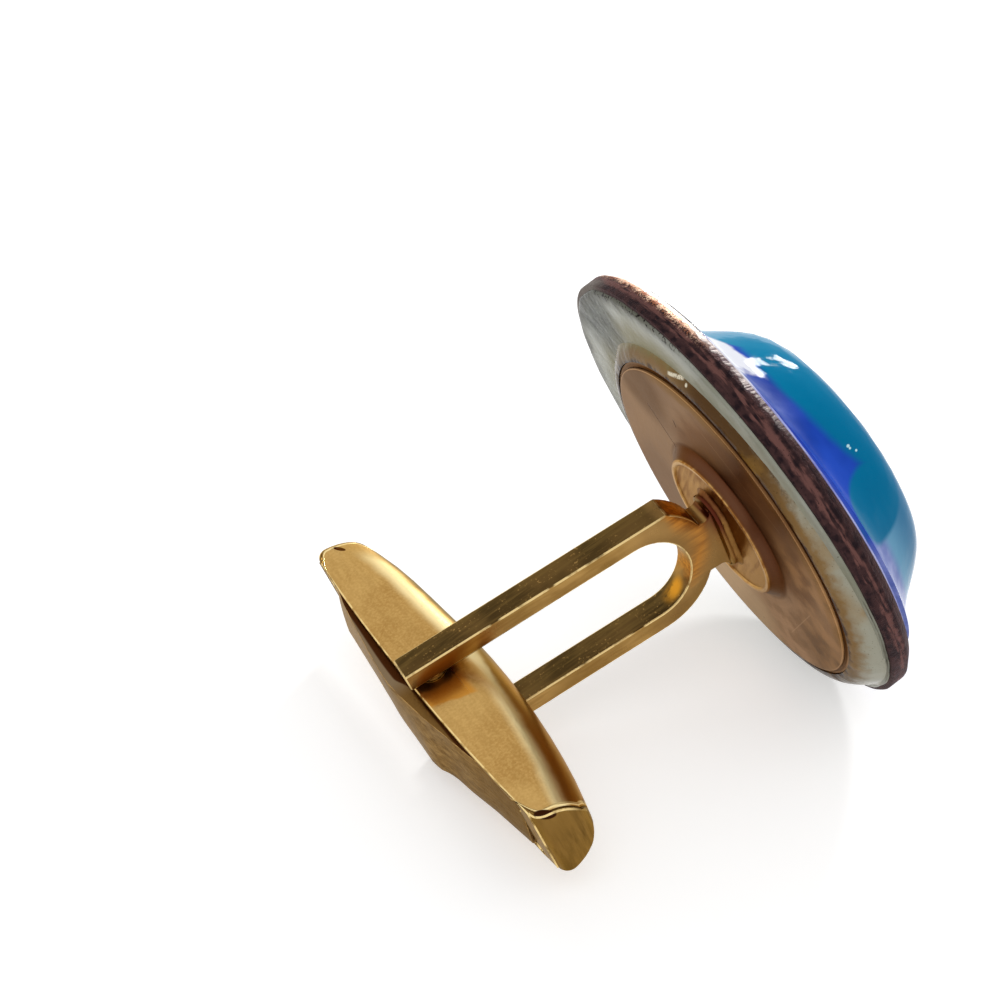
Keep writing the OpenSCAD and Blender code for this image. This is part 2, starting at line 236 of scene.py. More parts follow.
class Finish:
    """One material, and the few kinds of node that every finish is built from."""

    def __init__(self, name, **sockets):
        self.mat = bpy.data.materials.new(name)
        self.mat.use_nodes = True
        self.tree = self.mat.node_tree
        self.shader = self.tree.nodes["Principled BSDF"]
        for label, value in sockets.items():
            self.shader.inputs[label.replace("_", " ")].default_value = value
        self.coords = self.tree.nodes.new("ShaderNodeTexCoord").outputs["Object"]

    def filled(self, n, inputs):
        for label, value in inputs.items():
            joined(self.tree, n.inputs[label.replace("_", " ")], value)
        return n

    def add(self, kind, **inputs):
        return self.filled(self.tree.nodes.new(kind), inputs)

    def group(self, tree, **inputs):
        n = self.tree.nodes.new("ShaderNodeGroup")
        n.node_tree = tree
        return self.filled(n, inputs).outputs

    def patches(self, size_mm):
        """Broad patches of about the given size, middling ones and a fine grain."""
        outputs = self.group(PATCHES, Size_mm=size_mm)
        return outputs["Broad"], outputs["Middle"], outputs["Grain"]

    def chained(self, operation, values):
        total = values[0]
        for value in values[1:]:
            total = reckoned(self.tree, operation, total, value)
        return total

    def times(self, *values):
        return self.chained("MULTIPLY", values)

    # Masks laid over each other hold only where every one of them does
    all_of = times

    def plus(self, *values):
        return self.chained("ADD", values)

    def minus(self, *values):
        return self.chained("SUBTRACT", values)

    def most(self, *values):
        return self.chained("MAXIMUM", values)

    def least(self, *values):
        return self.chained("MINIMUM", values)

    def ragged(self, value, unevenness, amount):
        """The value pushed up unevenly, so that an edge drawn by it isn't clean."""
        return self.plus(value, self.times(unevenness, amount))

    def wavering(self, value, unevenness, amount):
        """The value pushed up and down unevenly round its own level."""
        return self.plus(value, self.times(self.minus(unevenness, 0.5), amount))

    def rise(self, value, start, end):
        """0 at start, 1 at end and smooth between them, whichever is the larger."""
        n = self.add("ShaderNodeMapRange", Value=value, From_Min=min(start, end), From_Max=max(start, end),
                     To_Min=float(end < start), To_Max=float(end > start))
        n.interpolation_type = "SMOOTHSTEP"
        return n.outputs["Result"]

    def band(self, value, low, high, soft):
        """1 between low and high, and smooth over twice the soft width at either of them."""
        over_low = self.rise(value, low - soft, low + soft)
        return self.times(over_low, self.rise(value, high + soft, high - soft))

    def between(self, amount, low, high):
        return self.add("ShaderNodeMapRange", Value=amount, To_Min=low, To_Max=high).outputs["Result"]

    def mix(self, amount, first, second):
        n = self.tree.nodes.new("ShaderNodeMix")
        n.data_type = "RGBA"
        for socket, value in ((n.inputs[0], amount), (n.inputs[6], first), (n.inputs[7], second)):
            joined(self.tree, socket, value)
        return n.outputs[2]

    def layers(self, colour, *coats):
        """Colour with each coat laid over it where the coat's mask is 1."""
        for mask, coat in coats:
            colour = self.mix(mask, colour, coat)
        return colour

    def distance(self, at, x, y, stretch=1.0):
        """Distance in millimetres from a point of a frame; stretch draws it out along the toggle."""
        dx = self.minus(at["Across"], x)
        dy = reckoned(self.tree, "DIVIDE", self.minus(at["Along"], y), stretch)
        return reckoned(self.tree, "SQRT", self.plus(self.times(dx, dx), self.times(dy, dy)))

    def scratch(self, at, start, end, width):
        """Mask of a straight scratch between two points of the given frame."""
        run = Vector(end) - Vector(start)
        length = run.length
        run /= length
        dx, dy = self.minus(at["Across"], start[0]), self.minus(at["Along"], start[1])
        along = self.plus(self.times(dx, run.x), self.times(dy, run.y))
        off = reckoned(self.tree, "ABSOLUTE", self.minus(self.times(dx, run.y), self.times(dy, run.x)))
        return self.times(self.rise(off, width, width * 0.4), self.band(along, 0, length, 0.08))

    def oval(self, at, middle, long_way, short_way):
        """Mask of an oval mark: its middle, and how fast each of its two ways runs out, per millimetre."""
        away = [self.minus(at[name], m) for name, m in zip(("Across", "Along", "Up"), middle)]
        runs = [self.plus(*(self.times(a, w) for a, w in zip(away, way))) for way in (long_way, short_way)]
        return self.rise(self.plus(*(self.times(run, run) for run in runs)), 1.0, 0.7)

    def noise(self, scale, detail=4.0):
        n = self.add("ShaderNodeTexNoise", Scale=scale / MM, Detail=detail, Vector=self.coords)
        return n.outputs["Fac"]

    def noise_at(self, x, y, z, detail):
        where = self.add("ShaderNodeCombineXYZ", X=x, Y=y, Z=z).outputs[0]
        return self.add("ShaderNodeTexNoise", Scale=1.0, Detail=detail, Vector=where).outputs["Fac"]

    def drawn_noise(self, at, across, along, up, detail=3.0):
        """Noise with its own number of lumps per millimetre in each direction of a frame."""
        return self.noise_at(self.times(at["Across"], across), self.times(at["Along"], along),
                             self.times(at["Up"], up), detail)

    def ring_noise(self, at, per_turn, per_mm, detail=3.0):
        """Noise that runs round a disc: lumps per turn round it and per millimetre across its edge."""
        return self.noise_at(self.times(at["Turn"], per_turn / FULL_TURN), self.times(at["Radius"], per_mm),
                             self.times(at["Up"], per_mm), detail)

    def finish(self, colour, rough, height=None, depth_mm=0.02):
        self.tree.links.new(colour, self.shader.inputs["Base Color"])
        self.tree.links.new(rough, self.shader.inputs["Roughness"])
        if height is not None:
            n = self.add("ShaderNodeBump", Height=height, Distance=depth_mm * MM)
            self.tree.links.new(n.outputs[0], self.shader.inputs["Normal"])
        return self.mat


# Finishes

def tarnished_gilt():
    """The cast fork: golden where it was rubbed, olive and speckled where the gilding has dulled, with
    painted amber and orange reflections near the root of its legs.
    """
    f = Finish("tarnished gilt", Metallic=1.0, Specular_Tint=(0.9, 0.78, 0.55, 1.0))
    at, face = f.group(BY_POST), f.group(FACING)
    up = at["Up"]
    broad, middle, grain = f.patches(2.6)
    drawn = f.drawn_noise(at, 7.0, 7.0, 0.6)
    gold = f.layers(
        f.mix(f.rise(broad, 0.36, 0.66), ink(146, 112, 60), ink(182, 144, 84)),
        (f.all_of(f.rise(drawn, 0.62, 0.36), f.between(f.rise(up, 4.0, 6.0), 0.08, 0.35)), ink(126, 92, 42)))
    flecks = f.all_of(f.rise(grain, 0.6, 0.72), f.rise(middle, 0.42, 0.62))
    olive = f.layers(
        f.mix(f.rise(broad, 0.34, 0.66), ink(66, 50, 26), ink(98, 74, 40)),
        (f.times(f.rise(drawn, 0.4, 0.66), 0.5), ink(110, 86, 46)),
        (f.times(flecks, 0.7), ink(178, 140, 80)))
    # Painted amber reflection on the legs' root, darker towards the foot
    amber = f.layers(
        f.mix(f.rise(drawn, 0.35, 0.65), ink(146, 84, 22), ink(196, 126, 44)),
        (f.rise(up, 1.6, 0.95), ink(74, 30, 22)))
    dull = f.all_of(f.rise(face["Across"], -0.5, -0.85), f.rise(up, 2.5, 3.1))
    # Where the painted amber reflection lies on the legs
    root = f.all_of(f.rise(f.ragged(up, middle, 0.5), 3.1, 2.5), f.rise(face["Across"], 0.1, -0.25),
                    f.rise(face["Across"], -0.94, -0.78))
    foot = f.rise(f.ragged(up, middle, 0.4), 1.3, 0.9)
    inner = f.all_of(f.rise(up, 3.4, 1.4), f.rise(face["Along"], 0.5, 0.9))
    # Painted orange reflection on one side of a leg
    orange_reflection = f.all_of(f.rise(face["Across"], -0.3, -0.8), f.rise(f.distance(at, 1.7, -0.2), 0.55, 0.15),
                    f.rise(up, 4.0, 3.2), f.rise(middle, 0.3, 0.5))
    ends = f.all_of(f.rise(face["Up"], 0.6, 0.9), f.rise(up, 12.0, 13.0))
    shade = f.all_of(f.rise(face["Along"], 0.5, 0.9), f.rise(up, 9.5, 13.2))
    colour = f.layers(
        gold,
        (f.times(inner, 0.55), ink(140, 104, 60)),
        (f.times(f.rise(up, 5.2, 3.4), 0.6), ink(128, 96, 56)),
        (dull, olive),
        (f.times(shade, 0.45), ink(122, 72, 24)),
        (f.times(root, 0.85), amber),
        (orange_reflection, ink(214, 148, 44)),
        (ends, ink(190, 170, 130)),
        (foot, f.mix(f.rise(at["Across"], -1.2, 0.2), ink(86, 40, 26), ink(132, 94, 50))),
        (f.all_of(f.group(WORN, Bare=0.32)["Worn"], f.rise(up, 1.2, 1.8)), ink(228, 200, 140)))
    rough = f.between(f.plus(f.times(middle, 0.6), f.times(dull, 0.25)), 0.22, 0.46)
    height = f.ragged(f.all_of(drawn, f.between(f.rise(up, 3.0, 6.0), 0.04, 0.6)), grain, 0.4)
    return f.finish(colour, rough, height, 0.008)


def satin_gilt():
    """The folded toggle: satin gold with a painted highlight band along its keel and painted shade under it,
    browner on its turned-over ends.
    """
    f = Finish("satin gilt", Metallic=1.0, Specular_Tint=(0.86, 0.72, 0.5, 1.0))
    at, face = f.group(BY_POST), f.group(FACING)
    across, along, up = at["Across"], at["Along"], at["Up"]
    broad, middle, grain = f.patches(4.0)
    fine = f.noise(9.0, 3.0)
    drawn = f.drawn_noise(at, 9.0, 0.7, 5.0)
    gold = f.layers(
        f.mix(f.rise(broad, 0.36, 0.66), ink(175, 134, 73), ink(192, 153, 90)),
        (f.times(f.rise(fine, 0.35, 0.7), 0.4), ink(216, 178, 110)),
        (f.times(f.rise(drawn, 0.6, 0.36), 0.16), ink(146, 108, 50)))
    brown = f.layers(
        f.mix(f.rise(f.drawn_noise(at, 0.5, 2.0, 4.0), 0.36, 0.64), ink(92, 66, 30), ink(140, 106, 54)),
        (f.rise(broad, 0.4, 0.7), ink(128, 96, 46)))
    lean = f.wavering(face["Up"], middle, 0.1)
    far_end = f.rise(along, -3.0, 2.0)
    # Painted highlight band along the keel
    keel = f.all_of(f.rise(lean, -0.26, -0.54), f.rise(lean, -0.88, -0.62), f.rise(along, -10.2, -8.4))
    # Painted shade on the keel's underside, beyond the highlight band
    under = f.rise(f.minus(lean, f.times(far_end, 0.2)), -0.76, -0.92)
    # The wall is cut to a rounded tongue at each end, and the end is folded up behind it
    run = f.minus(reckoned(f.tree, "ABSOLUTE", f.plus(along, 0.97)),
                  f.between(f.rise(along, 0, -2), 9.5, 9.82))
    high, low = f.most(f.minus(up, 13.75), 0.0), f.most(f.minus(12.5, up), 0.0)
    tongue = f.plus(run, f.plus(f.times(high, high, 3.4), f.times(low, 1.1)))
    folded = f.rise(tongue, 0.0, 0.05)
    lip = f.band(tongue, -0.16, -0.05, 0.04)
    seam = f.band(tongue, 0.02, 0.1, 0.03)
    # The two holes are painted dark, as the shade inside them
    hole = f.all_of(f.oval(at, (-1.7, 8.62, 13.8), (0.72, 1.03, -1.77), (3.6, 2.6, 3.0)),
                    f.rise(across, -0.6, -0.9), f.rise(along, 7.4, 7.8))
    nick = f.all_of(f.oval(at, (-1.65, -10.42, 13.25), (0.0, 2.6, -1.5), (0.0, 4.1, 6.9)),
                    f.rise(across, -0.8, -1.1))
    # Painted reflection of the leg on the wall, amber and dark, slanted as the leg is
    slant = f.plus(along, f.ragged(f.times(f.minus(up, 13.6), 0.35), middle, 0.5))
    pool = f.all_of(f.rise(face["Across"], -0.6, -0.95), f.band(slant, -0.6, 1.35, 0.1),
                    f.rise(up, 12.6, 12.9))
    # Painted highlight on the wall
    pale = f.oval(at, (-1.5, 0.2, 12.15), (0.5, 1.3, 0.0), (0.4, 0.0, 2.2))
    by_tab = f.all_of(f.rise(along, 8.2, 8.6), f.rise(across, -1.5, -0.8))
    colour = f.layers(
        gold,
        (f.times(keel, 0.85), ink(252, 232, 176)),
        (under, f.mix(far_end, ink(76, 58, 26), ink(176, 126, 56))),
        (f.times(pool, 0.8), f.mix(f.rise(along, -0.4, 0.6), ink(96, 44, 12), ink(198, 132, 40))),
        (f.all_of(pale, f.between(f.rise(middle, 0.35, 0.6), 0.15, 0.6)), ink(244, 218, 160)),
        (folded, brown),
        (f.rise(face["Up"], 0.5, 0.9), brown),
        (lip, ink(250, 226, 164)),
        (seam, ink(66, 38, 14)),
        (hole, ink(52, 24, 10)),
        (nick, ink(78, 36, 14)),
        (f.times(f.rise(grain, 0.7, 0.78), 0.3), ink(110, 78, 36)),
        (f.all_of(f.group(WORN, Bare=0.34)["Worn"], f.between(by_tab, 1, 0.15)), ink(240, 212, 148)))
    rough = f.between(f.plus(f.times(middle, 0.6), f.times(fine, 0.4)), 0.24, 0.4)
    height = f.plus(f.plus(f.times(fine, 0.35), f.times(drawn, 0.3)), f.times(lip, 3.0))
    return f.finish(colour, rough, f.minus(height, f.times(f.most(seam, hole), 4.0)), 0.012)


def brown_strip():
    """The spring strip: browned gilding with rubbed streaks, and painted shade in the gap under its near
    edge.
    """
    f = Finish("browned strip", Metallic=1.0, Specular_Tint=(0.72, 0.64, 0.52, 1.0))
    at, face = f.group(BY_POST), f.group(FACING)
    along = at["Along"]
    broad, middle, grain = f.patches(2.4)
    drawn = f.drawn_noise(at, 7.0, 1.4, 4.0)
    fine = f.drawn_noise(at, 16.0, 2.6, 6.0)
    side = f.rise(face["Across"], -0.5, -0.9)
    wide = f.times(f.rise(along, -8.0, -2.5), f.rise(along, -1.4, -2.4), 0.26)
    # Painted shade in the gap between the strip's side and the wall
    gap = f.all_of(side, f.rise(f.minus(at["Up"], 14.66, wide), 0.06, -0.02))
    colour = f.layers(
        f.mix(f.rise(drawn, 0.32, 0.68), ink(118, 88, 50), ink(158, 126, 80)),
        (f.rise(broad, 0.4, 0.7), ink(136, 112, 82)),
        (f.times(f.rise(fine, 0.56, 0.7), 0.5), ink(178, 146, 98)),
        (f.times(f.rise(fine, 0.42, 0.3), 0.6), ink(84, 58, 32)),
        (f.times(f.rise(along, 2.2, 5.5), 0.6), ink(108, 78, 38)),
        (f.times(f.rise(along, -5.0, -7.5), 0.5), ink(150, 118, 66)),
        (f.times(f.rise(grain, 0.64, 0.76), 0.7), ink(70, 44, 24)),
        (side, f.mix(f.rise(along, -2.4, -1.0), ink(128, 108, 82), ink(112, 82, 42))),
        (gap, ink(64, 32, 12)),
        (f.group(WORN, Bare=0.4)["Worn"], ink(206, 164, 98)))
    return f.finish(colour, f.between(middle, 0.26, 0.5), f.plus(drawn, grain), 0.012)


def pin_metal():
    """The pin: dull brass with turning marks round it and dirt in its corners."""
    f = Finish("dull brass", Metallic=1.0)
    _, middle, _ = f.patches(1.0)
    turned = f.drawn_noise(f.group(BY_POST), 18.0, 1.0, 1.0)
    colour = f.layers(
        f.mix(turned, ink(104, 74, 34), ink(176, 136, 72)),
        (f.rise(middle, 0.52, 0.7), ink(64, 38, 16)))
    return f.finish(colour, f.between(middle, 0.28, 0.55), turned, 0.01)


def solder_metal():
    """The solder: lumpier than the gilding and darker brown on one side where it meets the boss."""
    f = Finish("solder", Metallic=1.0, Specular_Tint=(0.8, 0.65, 0.5, 1.0))
    broad, middle, grain = f.patches(1.2)
    dark_side = f.rise(f.plus(f.group(BY_POST)["Across"], broad), -0.2, -1.4)
    colour = f.layers(
        f.mix(middle, ink(118, 82, 42), ink(150, 110, 60)),
        (f.times(dark_side, 0.7), ink(92, 46, 30)),
        (f.rise(grain, 0.68, 0.8), ink(84, 48, 26)))
    return f.finish(colour, f.between(grain, 0.24, 0.5), middle, 0.04)


def rose_gilt():
    """The pad: thin rose gilding with painted shade and reflection of the boss on one side round it,
    scratched as a stamped and handled part is.
    """
    f = Finish("rose gilt", Metallic=1.0, Specular_Tint=(0.6, 0.53, 0.46, 1.0))
    at = f.group(BY_POST)
    across, along, up, radius = (at[name] for name in ("Across", "Along", "Up", "Radius"))
    broad, middle, grain = f.patches(4.2)
    spun = f.ring_noise(at, 3.0, 9.0)
    lower = f.rise(f.ragged(across, along, 0.6), 1.0, 7.0)
    golden = f.all_of(f.rise(f.ragged(radius, middle, 0.9), 7.1, 7.6),
                      f.rise(f.minus(along, across), 3.0, 6.0))
    # Painted shade and reflection of the boss: a dark crescent round one side of it
    reach = f.ragged(f.distance(at, -2.4, 2.3), middle, 1.4)
    dark_side = f.all_of(f.rise(reach, 5.7, 4.3), f.rise(radius, 3.5, 3.7))
    shine = f.all_of(f.rise(along, 2.6, 5.4), f.rise(radius, 4.0, 5.2), f.rise(across, -3.6, -1.0),
                     f.rise(middle, 0.3, 0.62))
    pale = f.rise(f.ragged(f.distance(at, 6.2, -2.2), middle, 1.6), 4.6, 2.2)
    dusk = f.most(f.rise(f.distance(at, -5.6, -4.2), 2.8, 1.2), f.rise(f.distance(at, 4.9, 5.4), 3.2, 1.0))
    # The boss's flared foot, painted dark on that same side as shade and reflection of the boss
    flare = f.all_of(f.rise(radius, 3.28, 3.32), f.rise(radius, 3.98, 3.8), f.rise(up, 0.44, 0.4))
    # The boss's streaks run slanted to the fork
    slanted = {"Across": f.plus(f.times(across, 0.57), f.times(along, 0.82)),
               "Along": f.minus(f.times(across, 0.82), f.times(along, 0.57)), "Up": up}
    streaks = f.rise(f.drawn_noise(slanted, 2.6, 0.3, 1.0), 0.4, 0.62)
    lip = f.all_of(f.rise(up, 0.43, 0.46), f.band(radius, 3.1, 3.24, 0.03), f.rise(middle, 0.25, 0.5))
    rim = f.most(f.band(radius, 7.44, 7.47, 0.02), f.rise(radius, 7.68, 7.71))
    groove = f.all_of(f.band(radius, 7.5, 7.62, 0.03), f.rise(middle, 0.2, 0.5))
    lines = f.most(f.scratch(at, (-4.34, -3.89), (-2.5, -2.5), 0.05),
                   f.scratch(at, (-4.9, -1.64), (-4.5, -1.63), 0.05))
    hair = f.most(f.scratch(at, (-5.9, 1.0), (-3.2, 5.2), 0.03),
                  f.scratch(at, (2.0, 5.0), (5.4, 2.2), 0.03))
    colour = f.layers(
        f.mix(f.rise(broad, 0.36, 0.66), ink(132, 104, 84), ink(154, 124, 98)),
        (f.times(lower, 0.75), f.mix(f.rise(middle, 0.38, 0.62), ink(160, 122, 88), ink(196, 158, 124))),
        (f.times(pale, 0.8), ink(214, 186, 150)),
        (f.times(dusk, 0.75), ink(92, 64, 46)),
        (f.times(golden, 0.8), ink(128, 92, 44)),
        (f.times(f.rise(spun, 0.62, 0.4), 0.1), ink(112, 84, 62)),
        (f.times(dark_side, 0.8), f.mix(middle, ink(86, 50, 32), ink(128, 88, 58))),
        (f.times(shine, 0.6), ink(182, 140, 98)),
        (f.rise(up, 0.3, 0.39), f.mix(f.times(streaks, 0.85), ink(188, 146, 88), ink(132, 82, 34))),
        (f.all_of(flare, f.between(f.rise(reach, 7.4, 4.6), 0.25, 0.9)), ink(82, 46, 28)),
        (lip, ink(214, 180, 134)),
        (f.times(rim, 0.8), ink(206, 166, 124)),
        (groove, ink(92, 58, 34)),
        (f.times(f.rise(grain, 0.68, 0.78), 0.35), ink(94, 62, 44)),
        (f.times(hair, 0.4), ink(206, 172, 136)),
        (lines, ink(58, 34, 26)))
    rough = f.between(f.plus(f.times(middle, 0.7), f.times(dark_side, 0.3)), 0.26, 0.46)
    height = f.minus(f.plus(f.times(grain, 0.5), f.times(spun, 0.3)), f.times(lines, 4.0))
    return f.finish(colour, rough, height, 0.008)


def amber_glue():
    """The glue: amber and lumpy beside the pad, umber on one side, gone pale where it thins out."""
    f = Finish("amber glue", IOR=1.5, Specular_IOR_Level=0.02)
    at = f.group(BY_POST)
    along = at["Along"]
    broad, middle, grain = f.patches(1.8)
    out = f.wavering(at["Radius"], middle, 0.7)
    lit = f.rise(f.minus(along, at["Across"]), -2.0, 6.0)
    umber = f.all_of(f.rise(along, -0.8, 1.6), f.rise(along, 7.4, 4.2))
    amber = f.layers(
        f.mix(lit, ink(112, 92, 54), ink(146, 114, 70)),
        (f.times(umber, 0.85), ink(84, 56, 30)))
    thin = f.rise(f.minus(out, f.times(umber, 0.35)), 8.05, 8.7)
    edge = f.all_of(f.band(thin, 0.15, 0.6, 0.1), umber, f.rise(grain, 0.4, 0.52))
    glint = f.most(f.scratch(at, (-8.1, -0.6), (-8.36, 0.46), 0.1),
                   f.rise(f.distance(at, -8.2, 0.7), 0.1, 0.05))
    colour = f.layers(
        amber,
        (thin, f.mix(f.rise(along, 0.5, 4.5), ink(140, 132, 88), ink(178, 176, 158))),
        (f.rise(out, 7.96, 7.7), ink(62, 38, 16)),
        (f.times(f.rise(broad, 0.54, 0.7), 0.5), ink(160, 120, 56)),
        (f.times(f.rise(grain, 0.66, 0.74), 0.6), ink(62, 46, 22)),
        (f.times(edge, 0.7), ink(52, 36, 24)),
        (f.all_of(glint, f.rise(grain, 0.34, 0.44)), ink(250, 240, 214)))
    return f.finish(colour, f.between(middle, 0.04, 0.2), broad, 0.12)


def back_enamel():
    """The disc's back: cream enamel, grey and green towards one side, with burnt specks where it ran thin."""
    f = Finish("cream enamel", IOR=1.5, Specular_IOR_Level=0.015)
    at = f.group(BY_DISC)
    along = at["Along"]
    broad, middle, grain = f.patches(3.6)
    halo = f.all_of(f.rise(f.ragged(f.group(BY_POST)["Radius"], broad, 1.6), 11.1, 9.8),
                    f.between(f.rise(along, 3.5, -1.0), 0.2, 0.85))
    dark = f.rise(f.ragged(f.distance(at, -7.4, -7.2), broad, 1.6), 5.4, 2.6)
    mottle = f.rise(f.plus(f.times(middle, 0.6), f.times(grain, 0.4)), 0.4, 0.6)
    edge = f.wavering(at["Radius"], middle, 1.1)
    dirt = f.all_of(f.rise(edge, 9.2, 10.1), f.between(f.rise(along, 4.0, -1.0), 0.25, 0.85))
    burnt = f.all_of(f.rise(f.ragged(edge, grain, 0.8), 10.3, 10.55), f.rise(grain, 0.5, 0.6),
                     f.rise(along, 4.0, 0.0))
    colour = f.layers(
        f.mix(f.rise(broad, 0.36, 0.66), ink(164, 166, 150), ink(196, 198, 188)),
        (halo, ink(142, 134, 90)),
        (f.times(dark, 0.9), f.mix(mottle, ink(66, 70, 62), ink(116, 120, 112))),
        (dirt, f.mix(grain, ink(62, 64, 56), ink(118, 116, 102))),
        (burnt, ink(34, 28, 26)),
        (f.times(f.rise(grain, 0.7, 0.78), 0.6), ink(96, 92, 78)))
    return f.finish(colour, f.between(middle, 0.1, 0.3), f.plus(broad, middle), 0.05)


def fire_scaled_copper():
    """The disc's rim: copper darkened by the kiln, filed bright along parts of its front bevel, with painted
    glints and a painted highlight on the bevel at its left.
    """
    f = Finish("fire scaled copper", Metallic=0.7, Specular_Tint=(0.7, 0.6, 0.6, 1.0), Specular_IOR_Level=0.2)
    at = f.group(BY_DISC)
    along, up = at["Along"], at["Up"]
    _, middle, grain = f.patches(1.6)
    drawn = f.ring_noise(at, 60.0, 7.0, 4.0)
    filed = f.ring_noise(at, 560.0, 1.0, 2.0)
    uneven = f.wavering(up, middle, 0.5)
    bevel = f.rise(uneven, -0.98, -1.08)
    bare = f.all_of(bevel, f.rise(along, 7.4, 5.2), f.rise(along, 0.0, 2.4))
    # The left of the rim, where glints and a highlight on the bevel are painted
    left = f.all_of(f.rise(at["Across"], -8.0, -9.2), f.rise(along, 3.4, 0.6))
    # Painted glints along the left of the rim
    specks = f.all_of(left, f.rise(f.plus(f.times(up, -1.0), grain), 1.2, 1.42))
    streak = f.all_of(f.band(uneven, -0.72, -0.42, 0.08), f.rise(drawn, 0.4, 0.56))
    run_over = f.all_of(f.rise(f.distance(at, -7.4, -7.4), 4.6, 2.4),
                        f.rise(f.ragged(up, middle, 0.5), -0.45, -0.15))
    colour = f.layers(
        f.mix(f.rise(middle, 0.36, 0.62), ink(32, 22, 26), ink(62, 42, 42)),
        (f.times(f.rise(drawn, 0.5, 0.7), 0.4), ink(90, 62, 60)),
        (f.times(streak, 0.7), ink(118, 80, 74)),
        (run_over, ink(104, 100, 92)),
        (specks, f.mix(f.rise(middle, 0.4, 0.6), ink(176, 112, 80), ink(244, 206, 176))),
        (bare, f.mix(f.rise(filed, 0.38, 0.62), ink(84, 72, 76), ink(176, 168, 164))),
        # Painted highlight on the bevel at the left
        (f.all_of(left, f.rise(uneven, -0.98, -1.12)), ink(250, 238, 226)),
        (f.rise(grain, 0.66, 0.74), ink(24, 16, 18)))
    rough = f.between(f.plus(f.times(middle, 0.5), f.times(filed, 0.4)), 0.36, 0.7)
    height = f.plus(f.times(filed, bevel, 0.6), f.ragged(middle, grain, 0.5))
    return f.finish(colour, rough, height, 0.07)


def glass_colours(f, at, broad, middle):
    """Colour of the melted glass at each place on the disc, with a painted white reflection and painted
    glints, shared by the mound and the lump on it.
    """
    along, up, turn = at["Along"], at["Up"], at["Turn"]

    def oval(x, y, wide, long):
        return reckoned(f.tree, "DIVIDE", f.distance(at, x, y, long / wide), wide)

    run = f.plus(f.times(f.minus(oval(-1.9, 7.1, 1.5, 1.45), 1.0), 0.35), 1.0)
    lump = f.least(oval(-2.0, 1.0, 4.32, 5.2), f.least(run, oval(-3.4, -1.2, 3.2, 3.0)))
    green = f.layers(
        f.mix(f.rise(along, 5.5, -2.0), ink(0, 118, 162), ink(0, 146, 188)),
        (f.times(middle, 0.4), ink(0, 102, 148)))
    side = f.all_of(f.rise(turn, 1.84, 1.68), f.rise(turn, 0.5, 1.1))
    lilac = f.mix(f.rise(middle, 0.3, 0.7), ink(108, 124, 190), ink(152, 162, 214))
    teal = f.mix(f.rise(up, -2.6, -4.2), ink(110, 168, 202), ink(58, 124, 166))
    low = f.mix(f.rise(along, 4.5, 7.0), ink(54, 82, 204), ink(118, 140, 216))
    corner = f.all_of(f.rise(f.distance(at, -7.4, 4.2), 2.6, 0.6), f.rise(up, -3.4, -1.8))
    # Painted white reflection on the mound's flank
    wander = f.wavering(along, middle, 2.4)
    white_reflection = f.all_of(f.rise(f.ragged(up, middle, 0.3), -2.7, -2.5), f.rise(wander, 2.7, 1.9),
                     f.rise(wander, -3.6, -2.6), f.rise(at["Across"], -5.0, -6.0))
    # Painted glints on the lump
    specks = f.most(*(f.rise(f.distance(at, x, y), size, size * 0.5)
                      for x, y, size in ((-3.72, 5.59, 0.08), (-3.63, 5.66, 0.06), (-3.36, 5.7, 0.06))))
    return f.layers(
        f.mix(f.rise(broad, 0.35, 0.65), ink(20, 60, 160), ink(36, 80, 196)),
        (f.times(f.rise(up, -1.9, -1.5), 0.7), low),
        (f.times(corner, 0.45), lilac),
        (white_reflection, ink(238, 240, 248)),
        (side, f.mix(f.rise(up, -2.3, -2.9), lilac, teal)),
        (f.rise(f.wavering(lump, broad, 0.12), 1.05, 0.97), green),
        (f.all_of(specks, f.rise(up, -2.8, -3.2)), ink(196, 236, 244)))


def melted_glass(name):
    """The two melted glasses, smooth but for a slight swell."""
    f = Finish(name, IOR=1.5, Specular_IOR_Level=0.012)
    broad, middle, _ = f.patches(3.6)
    colour = glass_colours(f, f.group(BY_DISC), broad, middle)
    return f.finish(colour, f.between(middle, 0.03, 0.12), f.ragged(broad, middle, 0.1), 0.1)


def front_enamel():
    """The pale blue coat that shows as a ring round the mound."""
    f = Finish("pale blue enamel", IOR=1.5, Specular_IOR_Level=0.05)
    at = f.group(BY_DISC)
    along, radius = at["Along"], at["Radius"]
    broad, middle, grain = f.patches(1.8)
    rim = f.rise(f.ragged(radius, middle, 0.5), 10.0, 10.25)
    root = f.rise(f.minus(radius, f.times(middle, 0.6)), 8.6, 8.3)
    patch = f.all_of(f.band(along, 0.4, 2.2, 0.5), f.rise(f.wavering(radius, middle, 1.4), 9.6, 8.9))
    line = f.all_of(f.rise(radius, 9.5, 9.66), f.rise(along, 2.2, 1.4))
    grey = f.mix(f.rise(middle, 0.35, 0.65), ink(212, 208, 208), ink(184, 182, 196))
    colour = f.layers(
        f.mix(f.rise(broad, 0.35, 0.65), ink(134, 140, 214), ink(176, 182, 236)),
        (rim, ink(196, 196, 220)),
        (root, f.mix(f.rise(along, 4.5, 7.0), ink(84, 100, 214), ink(128, 148, 220))),
        (f.times(patch, 0.7), ink(62, 84, 192)),
        (f.rise(f.plus(along, broad), 1.0, 0.0), grey),
        # Painted white reflection, running on from the mound's flank
        (f.rise(f.distance(at, -9.0, 3.5), 1.9, 0.9), ink(236, 236, 248)),
        (line, ink(84, 92, 98)),
        (f.rise(grain, 0.7, 0.78), ink(96, 96, 150)))
    return f.finish(colour, f.between(middle, 0.06, 0.22), middle, 0.05)


# Shaping

def new_object(name, data):
    obj = bpy.data.objects.new(name, data)
    bpy.context.scene.collection.objects.link(obj)
    return obj


